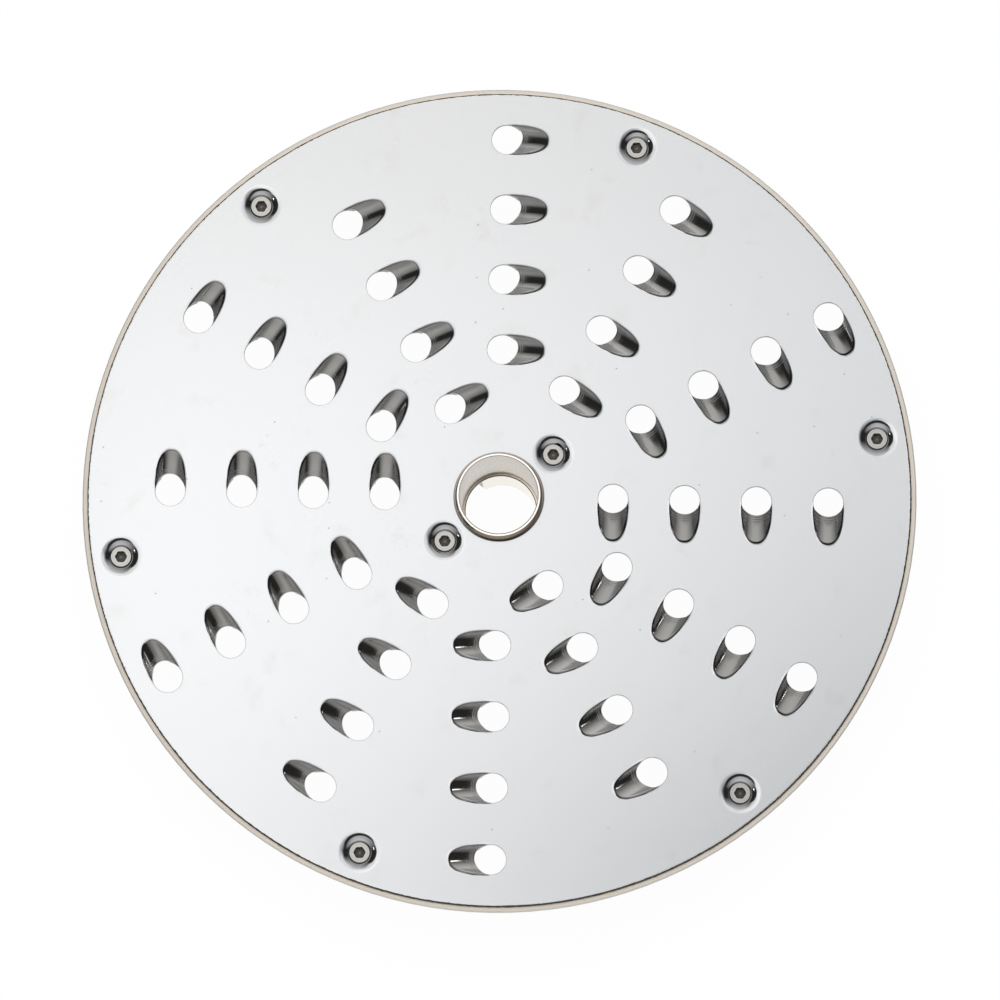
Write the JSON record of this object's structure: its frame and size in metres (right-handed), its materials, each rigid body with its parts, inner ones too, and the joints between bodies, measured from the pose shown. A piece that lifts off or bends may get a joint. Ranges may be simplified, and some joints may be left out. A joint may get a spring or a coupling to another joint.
{
  "type": "food processor grating disc",
  "caption": "Round grating disc: steel plate with hooded tooth holes, screwed to a spoked cast carrier whose hub fits over a drive shaft.",
  "frame": {"origin": "centre of the hub's lower end face, on the shaft axis", "axes": "+Z along the shaft axis towards the tooth side; +X along one row of teeth"},
  "size_m": [0.205, 0.205, 0.0385],
  "materials": {
    "face_sheet": "polished",
    "cast_carrier": "satin cast",
    "hub_steel": "turned",
    "screw_steel": "turned"
  },
  "bodies": {
    "root": {"face_plate": "face_sheet", "carrier": "cast_carrier", "hub_sleeve": "hub_steel", "rim_screws": "screw_steel", "hub_screws": "screw_steel"}
  },
  "joints": []
}
